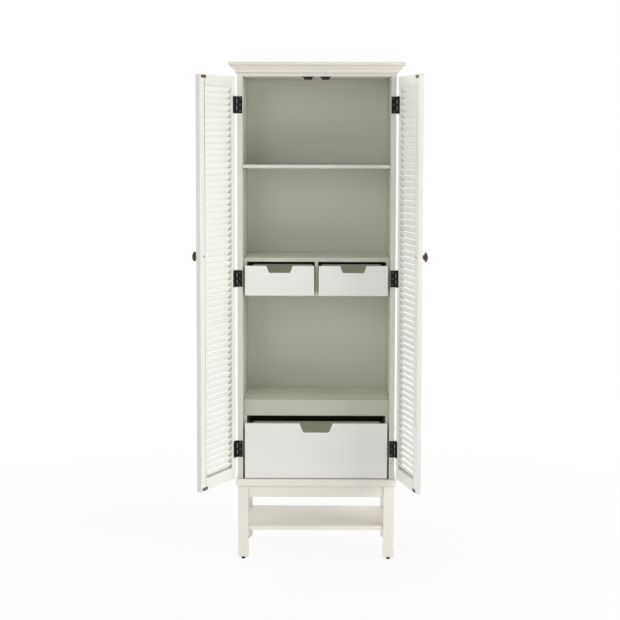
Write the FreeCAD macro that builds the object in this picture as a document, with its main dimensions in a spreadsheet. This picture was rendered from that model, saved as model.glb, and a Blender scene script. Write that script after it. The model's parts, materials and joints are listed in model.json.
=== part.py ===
import FreeCAD, Part
import math
import os
import re

import Sketcher

# A tall painted cabinet on a four-leg stand: two louvred doors on butt hinges, an open
# bay with an adjustable shelf, two small drawers, a second open bay and one large drawer.
# Millimetres. X runs to the right, Y to the back and Z up. The origin is on the floor,
# under the middle of the body. The doors stand open and the drawers stand a little out.

SIZES = {
    # Body of the cabinet.
    "body_width": 610,
    "body_depth": 384,
    "side_thickness": 20,
    "body_bottom": 322,
    "body_top": 1919,
    "top_board_thickness": 18,
    "top_panel_height": 1883,
    "top_panel_thickness": 18,
    "back_thickness": 8,
    "back_inset": 8,
    # Crown moulding, measured out from the body and up from the moulding's foot.
    "crown_foot": 1897,
    "bead_out": 7,
    "bead_height": 2,
    "cove_out": 13.5,
    "cove_height": 15,
    "cove_radius": 32,
    "step_out": 17,
    "step_height": 17.5,
    "crest_out": 29.5,
    "crest_height": 28,
    "crest_radius": 24,
    "crown_out": 32.5,
    # Shelf of the upper bay, and the pins that carry it.
    "shelf_height": 1533.5,
    "shelf_thickness": 13,
    "shelf_play": 1,
    "shelf_pin_radius": 2.5,
    "shelf_pin_length": 18,
    "shelf_pin_depth": 9,
    "shelf_pin_inset": 45,
    # Drawer bays, set back behind the front of the body.
    "bay_recess": 36,
    "cheek_thickness": 14.5,
    "divider_thickness": 12.8,
    "fixed_shelf_height": 1170.5,
    "fixed_shelf_thickness": 15,
    "small_bay_height": 1054,
    "small_bay_board": 16.5,
    "open_bay_height": 630,
    "open_bay_board": 16,
    "rail_height": 63.5,
    "rail_thickness": 20,
    "cabinet_floor_thickness": 16,
    # Drawers.
    "drawer_face_back": 1,
    "front_thickness": 16,
    "drawer_lift": 1,
    "drawer_side_play": 1.6,
    "wall_thickness": 11,
    "bottom_thickness": 5,
    "bottom_lift": 7,
    "small_front_bottom": 1041.5,
    "small_front_height": 115.5,
    "small_front_overlap": 6,
    "small_front_gap": 3,
    "small_wall_height": 87,
    "small_drawer_depth": 300,
    "small_pull_width": 102,
    "small_pull_foot": 83,
    "small_pull_depth": 27,
    "small_pull_radius": 9,
    "large_front_bottom": 324,
    "large_front_height": 217,
    "large_front_width": 555.6,
    "large_wall_height": 158,
    "large_drawer_depth": 312,
    "large_pull_width": 130,
    "large_pull_foot": 101,
    "large_pull_depth": 36,
    "large_pull_radius": 8,
    # Stand.
    "waist_thickness": 30,
    "waist_out": 8.5,
    "waist_top_radius": 5,
    "waist_foot_radius": 9,
    "leg_width": 40,
    "leg_bottom": 11,
    "apron_height": 43,
    "apron_thickness": 20,
    "apron_inset": 6,
    "low_shelf_height": 118,
    "low_shelf_thickness": 16,
    "low_shelf_inset": 5,
    "glide_radius": 8,
    "glide_foot_radius": 6.5,
    "glide_rim": 8,
    "glide_stem_radius": 3,
    "glide_stem_length": 16,
    # Hinges. The pin stands out beside the body and just before its front.
    "pin_out": 5,
    "pin_before": 1.5,
    "pin_radius": 1.75,
    "pin_tip_radius": 2.8,
    "pin_tip_length": 2.5,
    "bore_radius": 1.8,
    "knuckle_radius": 3.5,
    "knuckle_gap": 0.3,
    "tongue_start": 2.4,
    "leaf_start": 4,
    "leaf_end": 24.4,
    "leaf_thickness": 1.4,
    "hinge_height": 65,
    "hinge_middle": 1108,
    "hinge_spacing": 667,
    "leaf_screw_line": 15,
    "leaf_screw_spacing": 24,
    "leaf_screw_radius": 1.5,
    "leaf_screw_head": 3.2,
    "leaf_screw_length": 12,
    # Doors, measured along the door from the hinge pin.
    "left_opening": 112,
    "right_opening": 102,
    "door_start": 5,
    "door_end": 308.5,
    "door_bottom": 326,
    "door_top": 1882,
    "door_thickness": 18,
    "hinge_stile_width": 33,
    "meeting_stile_width": 46.5,
    "groove_line": 39,
    "groove_width": 1.8,
    "groove_depth": 1.6,
    "top_rail_height": 40,
    "bottom_rail_height": 45,
    "slat_count": 62,
    "slat_depth": 27,
    "slat_radius": 2,
    "slat_tilt": 56,
    "knob_inset": 27,
    "knob_height": 1210,
    "knob_bore": 2,
    "knob_bore_depth": 9,
    "rose_radius": 9,
    "rose_height": 2.5,
    "neck_radius": 6,
    "neck_height": 6,
    "cap_radius": 19,
    "cap_height": 17,
    "rim_height": 19,
    "knob_projection": 26.5,
    "knob_screw_head": 4,
    "knob_screw_head_height": 1.3,
    # Magnet catches under the top panel and the plates they hold.
    "catch_offset": 33.5,
    "plate_width": 44,
    "plate_height": 11,
    "plate_thickness": 1,
    "plate_edge": 8.5,
    "catch_width": 31,
    "catch_height": 12,
    "catch_depth": 14,
    "catch_back": 1,
    "ear_width": 46,
    "ear_height": 4,
    "pole_width": 24,
    "pole_height": 1.5,
    "pole_reach": 2.6,
    "pole_spread": 3.5,
}

# Lines and planes that many pieces share, as expressions in the sizes above.
HALF = "(body_width / 2)"
INNER = "(body_width / 2 - side_thickness)"
FRONT = "(-body_depth / 2)"
REAR = "(body_depth / 2)"
BAY = "(bay_recess - body_depth / 2)"
BACK = "(body_depth / 2 - back_inset - back_thickness)"
OPENING = "(body_width / 2 - side_thickness - cheek_thickness)"
WAIST_FOOT = "(body_bottom - waist_thickness)"
DRAWER_BACK = "(drawer_face_back + front_thickness - body_depth / 2)"
PIN_X = "(body_width / 2 + pin_out)"
PIN_Y = "(-body_depth / 2 - pin_before)"
DOOR_INNER = "(-pin_before)"
DOOR_OUTER = "(-pin_before - door_thickness)"
PANEL_START = "(door_start + hinge_stile_width)"
PANEL_END = "(door_end - meeting_stile_width)"
KNOB_LINE = "(door_end - knob_inset)"
PLATE_LINE = "(body_width / 2 + pin_out - catch_offset)"

UP = FreeCAD.Vector(0, 0, 1)
DOWN = FreeCAD.Vector(0, 0, -1)
SIDES = {"left": -1, "right": 1}
HINGE_STEPS = (-1, 0, 1)
KNUCKLES = 5

doc = FreeCAD.newDocument("apothecary_cabinet")
sub_parts = []


# ---------------------------------------------------------------- sizes and expressions

def make_sheet():
    """Put each driving size in a cell of its own, under its name."""
    sheet = doc.addObject("Spreadsheet::Sheet", "Sizes")
    for row, (name, size) in enumerate(SIZES.items(), start=1):
        sheet.set(f"A{row}", name)
        sheet.set(f"B{row}", str(size))
        sheet.setAlias(f"B{row}", name)
    doc.recompute()
    return sheet


sheet = make_sheet()


def linked(text):
    """Turn the names of sizes in an expression into references to the sheet."""
    return re.sub(r"[a-z_]+", lambda word: f"Sizes.{word[0]}" if word[0] in SIZES else word[0], text)


def value(text):
    return float(sheet.evalExpression(linked(text)))


def bind(obj, **expressions):
    """Bind properties to expressions; two underscores in a name stand for a dot."""
    for name, text in expressions.items():
        obj.setExpression(name.replace("__", "."), linked(text))


def bind_place(obj, at, path="Placement.Base"):
    for axis, text in zip("xyz", at):
        obj.setExpression(f"{path}.{axis}", linked(text))


def times(sign, text):
    return text if sign > 0 else f"-({text})"


def ordered(sign, low, high):
    """Mirror a span along X when the sign is negative, and keep it running upwards."""
    return (low, high) if sign > 0 else (f"-({high})", f"-({low})")


# ---------------------------------------------------------------- primitives and booleans

def box(name, x_span, y_span, z_span):
    """Make a box between two planes along each axis."""
    obj = doc.addObject("Part::Box", name)
    spans = (x_span, y_span, z_span)
    length, width, height = (f"({high}) - ({low})" for low, high in spans)
    bind(obj, Length=length, Width=width, Height=height)
    bind_place(obj, [low for low, high in spans])
    return obj


def rod(name, at, radius, length, axis=UP):
    obj = doc.addObject("Part::Cylinder", name)
    obj.Placement.Rotation = FreeCAD.Rotation(UP, axis)
    bind(obj, Radius=radius, Height=length)
    bind_place(obj, at)
    return obj


def cone(name, at, start_radius, end_radius, length, axis=UP):
    obj = doc.addObject("Part::Cone", name)
    obj.Placement.Rotation = FreeCAD.Rotation(UP, axis)
    bind(obj, Radius1=start_radius, Radius2=end_radius, Height=length)
    bind_place(obj, at)
    return obj


def fuse(name, shapes):
    obj = doc.addObject("Part::MultiFuse", name)
    obj.Shapes = shapes
    return obj


def group(name, shapes):
    obj = doc.addObject("Part::Compound", name)
    obj.Links = shapes
    return obj


def cut(name, base, tool):
    obj = doc.addObject("Part::Cut", name)
    obj.Base = base
    obj.Tool = tool
    return obj


def sub_part(obj):
    """Name a finished sub-part after its object and keep it for export."""
    obj.Label = obj.Name
    sub_parts.append(obj)
    return obj


# ---------------------------------------------------------------- bodies made from sketches

def origin_plane(body, role):
    return next(feature for feature in body.Origin.OriginFeatures if feature.Role == role)


def new_sketch(body, role, offset=("0", "0", "0")):
    sketch = body.newObject("Sketcher::SketchObject", f"{body.Name}_sketch")
    sketch.AttachmentSupport = [(origin_plane(body, role), "")]
    sketch.MapMode = "FlatFace"
    bind_place(sketch, offset, "AttachmentOffset.Base")
    return sketch


def lock(sketch, geometry, point, x, y):
    """Fix a point of the sketch at an expression for each of its two coordinates."""
    for kind, text in (("DistanceX", x), ("DistanceY", y)):
        index = sketch.addConstraint(Sketcher.Constraint(kind, -1, 1, geometry, point, value(text)))
        sketch.setExpression(f"Constraints[{index}]", linked(text))


def arc_between(start, end, radius):
    """Arc from start to end; a positive radius turns anticlockwise, a negative one clockwise."""
    chord = end - start
    height = math.sqrt(radius ** 2 - (chord.Length / 2) ** 2)
    side = FreeCAD.Vector(-chord.y, chord.x, 0).normalize()
    centre = start + chord * 0.5 + side * math.copysign(height, radius)
    first, last = (start, end) if radius > 0 else (end, start)
    from_centre = [point - centre for point in (first, last)]
    angles = [math.atan2(spoke.y, spoke.x) for spoke in from_centre]
    return Part.ArcOfCircle(Part.Circle(centre, UP, abs(radius)), *angles)


def outline(sketch, points):
    """Draw one closed outline. A point is (x, y), or (x, y, radius) where the stretch
    that ends there is an arc; a radius that starts with a minus turns clockwise."""
    corners = [FreeCAD.Vector(value(point[0]), value(point[1]), 0) for point in points]
    ends = []
    first = sketch.GeometryCount
    for number, point in enumerate(points):
        start, end = corners[number - 1], corners[number]
        if len(point) == 3:
            radius = value(point[2])
            index = sketch.addGeometry(arc_between(start, end, radius))
            bend = sketch.addConstraint(Sketcher.Constraint("Radius", index, abs(radius)))
            sketch.setExpression(f"Constraints[{bend}]", linked(point[2].lstrip("-")))
            ends.append((1, 2) if radius > 0 else (2, 1))
        else:
            index = sketch.addGeometry(Part.LineSegment(start, end))
            ends.append((1, 2))
    for number, point in enumerate(points):
        index, following = first + number, first + (number + 1) % len(points)
        start_of_next = ends[(number + 1) % len(points)][0]
        end_of_this = ends[number][1]
        sketch.addConstraint(
            Sketcher.Constraint("Coincident", index, end_of_this, following, start_of_next))
        lock(sketch, index, end_of_this, point[0], point[1])


def slot(sketch, start, end, radius):
    """Draw a slot with round ends about two centres."""
    centres = [FreeCAD.Vector(value(x), value(y), 0) for x, y in (start, end)]
    along = (centres[1] - centres[0]).normalize()
    across = FreeCAD.Vector(-along.y, along.x, 0) * value(radius)
    turn = math.atan2(along.y, along.x)
    first = sketch.GeometryCount
    for number, centre in enumerate(centres):
        opening = turn + math.pi * (0.5 - number)
        circle = Part.Circle(centre, UP, value(radius))
        sketch.addGeometry(Part.ArcOfCircle(circle, opening, opening + math.pi))
    near, far = first, first + 1
    low = sketch.addGeometry(Part.LineSegment(centres[0] - across, centres[1] - across))
    high = sketch.addGeometry(Part.LineSegment(centres[1] + across, centres[0] + across))
    for one, end_one, other, end_other in (
            (near, 2, low, 1), (low, 2, far, 1), (far, 2, high, 1), (high, 2, near, 1)):
        sketch.addConstraint(Sketcher.Constraint("Tangent", one, end_one, other, end_other))
    bend = sketch.addConstraint(Sketcher.Constraint("Radius", near, value(radius)))
    sketch.setExpression(f"Constraints[{bend}]", linked(radius))
    lock(sketch, near, 3, *start)
    lock(sketch, far, 3, *end)


def pad(body, sketch, length):
    feature = body.newObject("PartDesign::Pad", f"{body.Name}_pad")
    feature.Profile = sketch
    bind(feature, Length=length)
    doc.recompute()
    return feature


def pocket(body, sketch, length, backwards=False):
    """Cut a pocket and make sure that it takes something away."""
    before = body.Shape.Volume
    feature = body.newObject("PartDesign::Pocket", f"{body.Name}_pocket")
    feature.Profile = sketch
    feature.Reversed = backwards
    bind(feature, Length=length)
    doc.recompute()
    if body.Shape.Volume >= before:
        raise RuntimeError(f"{body.Name}: the pocket cuts nothing")
    return feature


def revolve(body, sketch):
    feature = body.newObject("PartDesign::Revolution", f"{body.Name}_revolution")
    feature.Profile = sketch
    feature.ReferenceAxis = (sketch, ["V_Axis"])
    feature.Angle = 360
    doc.recompute()
    return feature


def pattern_up(body, original, spacing, count):
    """Repeat a feature upwards, the given spacing apart."""
    feature = body.newObject("PartDesign::LinearPattern", f"{body.Name}_pattern")
    feature.Originals = [original]
    feature.Direction = (origin_plane(body, "XY_Plane"), [""])
    bind(feature, Length=f"({spacing}) * ({count} - 1)", Occurrences=count)
    body.Tip = feature
    doc.recompute()
    return feature


def round_edges(body, base, chosen, radius):
    """Round the edges of the body that the given test picks out."""
    edges = [f"Edge{number}" for number, edge in enumerate(base.Shape.Edges, start=1) if chosen(edge)]
    feature = body.newObject("PartDesign::Fillet", f"{body.Name}_fillet")
    feature.Base = (base, edges)
    bind(feature, Radius=radius)
    doc.recompute()
    return feature


# ---------------------------------------------------------------- body of the cabinet

def make_carcass():
    """Top, back and inner boards that fill the body from side to side."""
    width = (f"-{INNER}", INNER)
    boards = {
        "top_panel": (width, (FRONT, BACK),
                      ("top_panel_height", "top_panel_height + top_panel_thickness")),
        "top_front_rail": (width, (FRONT, f"{FRONT} + rail_thickness"),
                           ("top_panel_height + top_panel_thickness", "body_top")),
        "top_board": ((f"-{HALF}", HALF), (FRONT, REAR),
                      ("body_top", "body_top + top_board_thickness")),
        "back_panel": (width, (BACK, f"{BACK} + back_thickness"), ("body_bottom", "body_top")),
        "fixed_shelf": (width, (BAY, BACK),
                        ("fixed_shelf_height", "fixed_shelf_height + fixed_shelf_thickness")),
        "drawer_divider": (("-divider_thickness / 2", "divider_thickness / 2"), (BAY, BACK),
                           ("small_bay_height", "fixed_shelf_height")),
        "small_bay_bottom": (width, (BAY, BACK),
                             ("small_bay_height - small_bay_board", "small_bay_height")),
        "open_bay_floor": (width, (f"{BAY} + rail_thickness", BACK),
                           ("open_bay_height - open_bay_board", "open_bay_height")),
        "drawer_rail": (width, (BAY, f"{BAY} + rail_thickness"),
                        ("open_bay_height - rail_height", "open_bay_height")),
        "cabinet_floor": (width, (BAY, BACK),
                          ("body_bottom", "body_bottom + cabinet_floor_thickness")),
    }
    for name, spans in boards.items():
        sub_part(box(name, *spans))
    shelf_half = f"({INNER} - shelf_play)"
    sub_part(box("adjustable_shelf", (f"-{shelf_half}", shelf_half),
                 (f"{FRONT} + shelf_play", f"{BACK} - shelf_play"),
                 ("shelf_height", "shelf_height + shelf_thickness")))


def make_cheeks():
    """Pairs of boards that line the drawer bays and narrow them to the drawers' width."""
    bays = {
        "small_bay_cheeks": ("small_bay_height", "fixed_shelf_height"),
        "large_bay_cheeks": ("body_bottom + cabinet_floor_thickness", "open_bay_height - rail_height"),
    }
    for name, z_span in bays.items():
        pair = [box(f"{name}_{side}", ordered(sign, OPENING, INNER), (BAY, BACK), z_span)
                for side, sign in SIDES.items()]
        sub_part(group(name, pair))


def make_side_panels(hinge_screws, shelf_pins):
    """Side panels, drilled for the hinge screws and for the shelf pins."""
    for side, sign in SIDES.items():
        board = box(f"side_board_{side}", ordered(sign, INNER, HALF), (FRONT, REAR),
                    ("body_bottom", "body_top"))
        holes = group(f"side_holes_{side}", [hinge_screws[side]] + shelf_pins[side])
        sub_part(cut(f"side_panel_{side}", board, holes))


def make_shelf_pins():
    """Four pins, half in the side panels and half under the adjustable shelf."""
    pins = {}
    for side, sign in SIDES.items():
        start = times(sign, f"{INNER} + shelf_pin_depth - shelf_pin_length")
        rows = (f"{FRONT} + shelf_pin_inset", f"{BACK} - shelf_pin_inset")
        pins[side] = [
            rod(f"shelf_pin_{side}_{row}", (start, y, "shelf_height - shelf_pin_radius"),
                "shelf_pin_radius", "shelf_pin_length", FreeCAD.Vector(sign, 0, 0))
            for row, y in zip(("front", "rear"), rows)]
    sub_part(group("shelf_pins", pins["left"] + pins["right"]))
    return pins


def crown_profile(sign, start):
    """Outline of the moulding: bead, cove, step, cove and crest, out from the body."""
    def out(text):
        return f"{start} + {sign} * ({text})"

    def up(text):
        return f"crown_foot + {text}"

    def hollow(radius):
        return f"-{radius}" if sign > 0 else radius

    top = "body_top + top_board_thickness"
    return [
        (out("0"), "crown_foot"),
        (out("bead_out"), "crown_foot"),
        (out("bead_out"), up("bead_height")),
        (out("cove_out"), up("cove_height"), hollow("cove_radius")),
        (out("step_out"), up("cove_height")),
        (out("step_out"), up("step_height")),
        (out("crest_out"), up("crest_height"), hollow("crest_radius")),
        (out("crown_out"), up("crest_height")),
        (out("crown_out"), top),
        (out("0"), top),
    ]


def make_crown():
    """Crown moulding: one length across the front and a return on each side, mitred."""
    tall = "body_top + top_board_thickness"
    outer = f"({HALF} + crown_out)"
    before = f"({FRONT} - crown_out)"

    front = doc.addObject("PartDesign::Body", "crown_front")
    profile = new_sketch(front, "YZ_Plane", ("0", "0", f"-{outer}"))
    outline(profile, crown_profile(-1, FRONT))
    pad(front, profile, f"2 * {outer}")
    mitres = new_sketch(front, "XY_Plane")
    for sign in SIDES.values():
        outline(mitres, [(times(sign, HALF), FRONT), (times(sign, outer), before),
                         (times(sign, outer), FRONT)])
    pocket(front, mitres, tall, backwards=True)
    sub_part(front)

    returns = []
    for side, sign in SIDES.items():
        body = doc.addObject("PartDesign::Body", f"crown_{side}")
        profile = new_sketch(body, "XZ_Plane", ("0", "0", f"-{REAR}"))
        outline(profile, crown_profile(sign, times(sign, HALF)))
        pad(body, profile, f"{REAR} - {before}")
        mitre = new_sketch(body, "XY_Plane")
        outline(mitre, [(times(sign, HALF), FRONT), (times(sign, HALF), before),
                        (times(sign, outer), before)])
        pocket(body, mitre, tall, backwards=True)
        returns.append(body)
    sub_part(group("crown_returns", returns))


# ---------------------------------------------------------------- stand

def make_waist():
    """Moulded board between the body and the stand, rounded on its front and its ends."""
    body = doc.addObject("PartDesign::Body", "base_board")
    sketch = new_sketch(body, "XY_Plane", ("0", "0", WAIST_FOOT))
    half = f"({HALF} + waist_out)"
    front = f"({FRONT} - waist_out)"
    outline(sketch, [(half, front), (half, REAR), (f"-{half}", REAR), (f"-{half}", front)])
    slab = pad(body, sketch, "waist_thickness")

    def on_level(level):
        limit = value(REAR) - 1

        def chosen(edge):
            centre = edge.CenterOfMass
            return abs(centre.z - value(level)) < 0.01 and centre.y < limit
        return chosen

    topped = round_edges(body, slab, on_level("body_bottom"), "waist_top_radius")
    round_edges(body, topped, on_level(WAIST_FOOT), "waist_foot_radius")
    sub_part(body)


def make_legs():
    """Square legs, bored for the stems of their glides."""
    glides = []
    rows = {"front": f"({FRONT} + leg_width / 2)", "rear": f"({REAR} - leg_width / 2)"}
    for row, y in rows.items():
        pair = []
        for side, sign in SIDES.items():
            x = times(sign, f"{HALF} - leg_width / 2")
            tag = f"{row}_{side}"
            block = box(f"leg_block_{tag}", (f"{x} - leg_width / 2", f"{x} + leg_width / 2"),
                        (f"{y} - leg_width / 2", f"{y} + leg_width / 2"), ("leg_bottom", WAIST_FOOT))
            stem = rod(f"glide_stem_{tag}", (x, y, "leg_bottom - 1"), "glide_stem_radius",
                       "glide_stem_length + 1")
            rim = rod(f"glide_rim_{tag}", (x, y, "leg_bottom - glide_rim"), "glide_radius", "glide_rim")
            foot = cone(f"glide_foot_{tag}", (x, y, "0"), "glide_foot_radius", "glide_radius",
                        "leg_bottom - glide_rim")
            pair.append(cut(f"leg_{tag}", block, stem))
            glides.append(fuse(f"glide_{tag}", [foot, rim, stem]))
        sub_part(group(f"{row}_legs", pair))
    sub_part(group("foot_glides", glides))


def make_aprons():
    """Boards between the legs, under the waist board."""
    z_span = (f"{WAIST_FOOT} - apron_height", WAIST_FOOT)
    between = f"({HALF} - leg_width)"
    rows = {
        "front_apron": (f"{FRONT} + apron_inset", f"{FRONT} + apron_inset + apron_thickness"),
        "rear_apron": (f"{REAR} - apron_inset - apron_thickness", f"{REAR} - apron_inset"),
    }
    for name, y_span in rows.items():
        sub_part(box(name, (f"-{between}", between), y_span, z_span))
    outer = f"({HALF} - apron_inset)"
    pair = [box(f"side_apron_{side}", ordered(sign, f"{outer} - apron_thickness", outer),
                (f"{FRONT} + leg_width", f"{REAR} - leg_width"), z_span)
            for side, sign in SIDES.items()]
    sub_part(group("side_aprons", pair))


def make_low_shelf():
    """Shelf of the stand, notched round the four legs."""
    body = doc.addObject("PartDesign::Body", "stand_shelf")
    sketch = new_sketch(body, "XY_Plane", ("0", "0", "low_shelf_height"))
    wide, narrow = f"({HALF} - low_shelf_inset)", f"({HALF} - leg_width)"
    long, short = f"({REAR} - low_shelf_inset)", f"({REAR} - leg_width)"
    quarter = [(wide, short), (narrow, short), (narrow, long)]
    points = quarter
    points = points + [(f"-{x}", y) for x, y in reversed(quarter)]
    points = points + [(f"-{x}", f"-{y}") for x, y in quarter]
    points = points + [(x, f"-{y}") for x, y in reversed(quarter)]
    outline(sketch, points)
    pad(body, sketch, "low_shelf_thickness")
    sub_part(body)


# ---------------------------------------------------------------- hinges

# Hinge pieces are made about the pin, which stands along Z at X = 0 and Y = 0. The body
# side is at positive Y and the door side at negative Y, with the door closed.

def hinge_level(step):
    return f"(hinge_middle + {step} * hinge_spacing)"


def make_leaf_screws(side, sign, on_door):
    """Countersunk screws through one side's leaves, into the door or into the body."""
    owner = "door" if on_door else "frame"
    facing = -1 if on_door else 1
    axis = FreeCAD.Vector(0, facing, 0)
    face = times(facing, "pin_before - leaf_thickness")
    seat = times(facing, "pin_before")
    x = times(sign * -1, "leaf_screw_line")
    screws = []
    for step in HINGE_STEPS:
        for place in HINGE_STEPS:
            tag = f"{owner}_{side}_{step + 1}{place + 1}"
            z = f"{hinge_level(step)} + {place} * leaf_screw_spacing"
            head = cone(f"screw_head_{tag}", (x, face, z), "leaf_screw_head", "leaf_screw_radius",
                        "leaf_thickness", axis)
            shank = rod(f"screw_shank_{tag}", (x, seat, z), "leaf_screw_radius",
                        "leaf_screw_length", axis)
            screws.append(fuse(f"screw_{tag}", [head, shank]))
    return group(f"{owner}_screws_{side}", screws)


def make_leaves(side, sign, on_door, screws):
    """Three leaves with their knuckles, bored for the pins and for the screws."""
    owner = "door" if on_door else "frame"
    facing = -1 if on_door else 1
    y_span = ordered(facing, "pin_before - leaf_thickness", "pin_before")
    leaves = []
    for step in HINGE_STEPS:
        foot = f"({hinge_level(step)} - hinge_height / 2)"
        tag = f"{owner}_{side}_{step + 1}"
        pieces = [box(f"leaf_plate_{tag}", ordered(-sign, "leaf_start", "leaf_end"), y_span,
                      (foot, f"{foot} + hinge_height"))]
        for knuckle in range(1 if on_door else 0, KNUCKLES, 2):
            bottom = f"{foot} + {knuckle} * hinge_height / {KNUCKLES} + knuckle_gap / 2"
            height = f"hinge_height / {KNUCKLES} - knuckle_gap"
            pieces.append(rod(f"knuckle_{tag}_{knuckle}", ("0", "0", bottom), "knuckle_radius", height))
            pieces.append(box(f"tongue_{tag}_{knuckle}", ordered(-sign, "tongue_start", "leaf_start"),
                              y_span, (bottom, f"{bottom} + {height}")))
        leaves.append(fuse(f"leaf_{tag}", pieces))
    radius = "bore_radius" if on_door else "pin_radius"
    bore = rod(f"leaf_bore_{owner}_{side}", ("0", "0", "body_bottom"), radius, "body_top - body_bottom")
    return cut(f"{owner}_leaves_{side}", group(f"leaf_blanks_{owner}_{side}", leaves),
               group(f"leaf_tools_{owner}_{side}", [screws, bore]))


def make_pins(side):
    """Loose pins with a button tip at each end."""
    pins = []
    for step in HINGE_STEPS:
        foot = f"({hinge_level(step)} - hinge_height / 2)"
        tag = f"{side}_{step + 1}"
        shaft = rod(f"pin_shaft_{tag}", ("0", "0", foot), "pin_radius", "hinge_height")
        tips = [rod(f"pin_tip_{tag}_{end}", ("0", "0", z), "pin_tip_radius", "pin_tip_length")
                for end, z in (("low", f"{foot} - pin_tip_length"), ("high", f"{foot} + hinge_height"))]
        pins.append(fuse(f"pin_{tag}", [shaft] + tips))
    return group(f"pins_{side}", pins)


def on_pin(obj, side, name):
    """Place a piece made about the pin beside the body, not turned."""
    placed = group(name, [obj])
    bind_place(placed, (times(SIDES[side], PIN_X), PIN_Y, "0"))
    return placed


def hang(obj, side):
    """Hang a door's piece on its pins, turned out to the door's opening angle."""
    obj.Placement = FreeCAD.Placement(FreeCAD.Vector(), FreeCAD.Rotation(UP if side == "right" else DOWN, 1))
    bind_place(obj, (times(SIDES[side], PIN_X), PIN_Y, "0"))
    bind(obj, Placement__Rotation__Angle=f"{side}_opening")
    return sub_part(obj)


def make_frame_hinges():
    """Leaves and screws on the body, and the pins."""
    leaves, pins, screws = {}, {}, {}
    for side, sign in SIDES.items():
        made = make_leaf_screws(side, sign, on_door=False)
        leaves[side] = on_pin(make_leaves(side, sign, False, made), side, f"placed_leaves_{side}")
        pins[side] = on_pin(make_pins(side), side, f"placed_pins_{side}")
        screws[side] = on_pin(made, side, f"placed_screws_{side}")
    sub_part(group("frame_hinge_leaves", list(leaves.values())))
    sub_part(group("hinge_pins", list(pins.values())))
    sub_part(group("frame_hinge_screws", list(screws.values())))
    return screws


# ---------------------------------------------------------------- doors

# Door pieces are made closed, about the same pin. They run from the pin along X towards
# the middle of the cabinet, and their thickness lies at negative Y.

def door_span(sign, low, high):
    return ordered(-sign, low, high)


def make_frame_members(side, sign, screws, knob_screw):
    """Two stiles of full height with the rails between them. A groove runs down the inner
    face of the meeting stile and marks off a narrow strip beside the slats."""
    name = f"{side}_door"
    y_span = (DOOR_OUTER, DOOR_INNER)
    full = ("door_bottom", "door_top")
    hinge_side = door_span(sign, "door_start", PANEL_START)
    meeting_side = door_span(sign, PANEL_END, "door_end")
    groove_side = door_span(sign, "door_end - groove_line - groove_width", "door_end - groove_line")
    groove = box(f"{name}_groove", groove_side, (f"{DOOR_INNER} - groove_depth", f"{DOOR_INNER} + 1"),
                 ("door_bottom - 1", "door_top + 1"))
    hinge_board = box(f"{name}_hinge_board", hinge_side, y_span, full)
    meeting_board = box(f"{name}_meeting_board", meeting_side, y_span, full)
    meeting_tools = group(f"{name}_meeting_tools", [knob_screw, groove])
    hang(cut(f"{name}_hinge_stile", hinge_board, screws), side)
    hang(cut(f"{name}_meeting_stile", meeting_board, meeting_tools), side)
    between = door_span(sign, PANEL_START, PANEL_END)
    levels = {
        "top_rail": ("door_top - top_rail_height", "door_top"),
        "bottom_rail": ("door_bottom", "door_bottom + bottom_rail_height"),
    }
    for rail, z_span in levels.items():
        hang(box_rail(f"{name}_{rail}", between, z_span), side)


def box_rail(name, x_span, z_span):
    """Rail of a door, padded down its thickness from the inner face."""
    body = doc.addObject("PartDesign::Body", name)
    sketch = new_sketch(body, "XZ_Plane", ("0", "0", "pin_before"))
    (left, right), (bottom, top) = x_span, z_span
    outline(sketch, [(left, bottom), (right, bottom), (right, top), (left, top)])
    pad(body, sketch, "door_thickness")
    return body


def make_slats(side, sign):
    """Fixed slats between the stiles. Each one falls from the inner face to the outer face."""
    body = doc.addObject("PartDesign::Body", f"{side}_door_slats")
    start = door_span(sign, PANEL_START, PANEL_END)[0]
    sketch = new_sketch(body, "YZ_Plane", ("0", "0", start))
    foot = "(door_bottom + bottom_rail_height)"
    pitch = f"((door_top - top_rail_height - {foot}) / slat_count)"
    middle = "(-pin_before - door_thickness / 2)"
    reach = "(slat_depth / 2 - slat_radius)"
    across = f"{reach} * cos(slat_tilt * 1 deg)"
    rise = f"{reach} * sin(slat_tilt * 1 deg)"
    level = f"{foot} + {pitch} / 2"
    slot(sketch, (f"{middle} - {across}", f"{level} - {rise}"),
         (f"{middle} + {across}", f"{level} + {rise}"), "slat_radius")
    slat = pad(body, sketch, f"{PANEL_END} - {PANEL_START}")
    pattern_up(body, slat, pitch, "slat_count")
    hang(body, side)


def make_knob_screw(side, sign):
    """Pan-head screw from the inner face of the door into the knob."""
    at = (times(-sign, KNOB_LINE), DOOR_INNER, "knob_height")
    inwards = FreeCAD.Vector(0, 1, 0)
    head = rod(f"{side}_knob_screw_head", at, "knob_screw_head", "knob_screw_head_height", inwards)
    shank = rod(f"{side}_knob_screw_shank", at, "knob_bore", "door_thickness + knob_bore_depth", -inwards)
    return fuse(f"{side}_knob_screw_blank", [head, shank])


def make_knob(side, sign):
    """Round mushroom knob, bored from behind for its screw."""
    body = doc.addObject("PartDesign::Body", f"{side}_door_knob")
    sketch = new_sketch(body, "XY_Plane", (times(-sign, KNOB_LINE), DOOR_OUTER, "knob_height"))
    outline(sketch, [
        ("knob_bore", "0"),
        ("knob_bore", "-knob_bore_depth"),
        ("0", "-knob_bore_depth"),
        ("0", "-knob_projection"),
        ("cap_radius", "-rim_height", "cap_radius + 10"),
        ("cap_radius - 1.5", "-cap_height"),
        ("neck_radius", "-neck_height", "-cap_radius"),
        ("rose_radius", "-rose_height"),
        ("rose_radius", "0"),
    ])
    revolve(body, sketch)
    hang(body, side)


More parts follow.
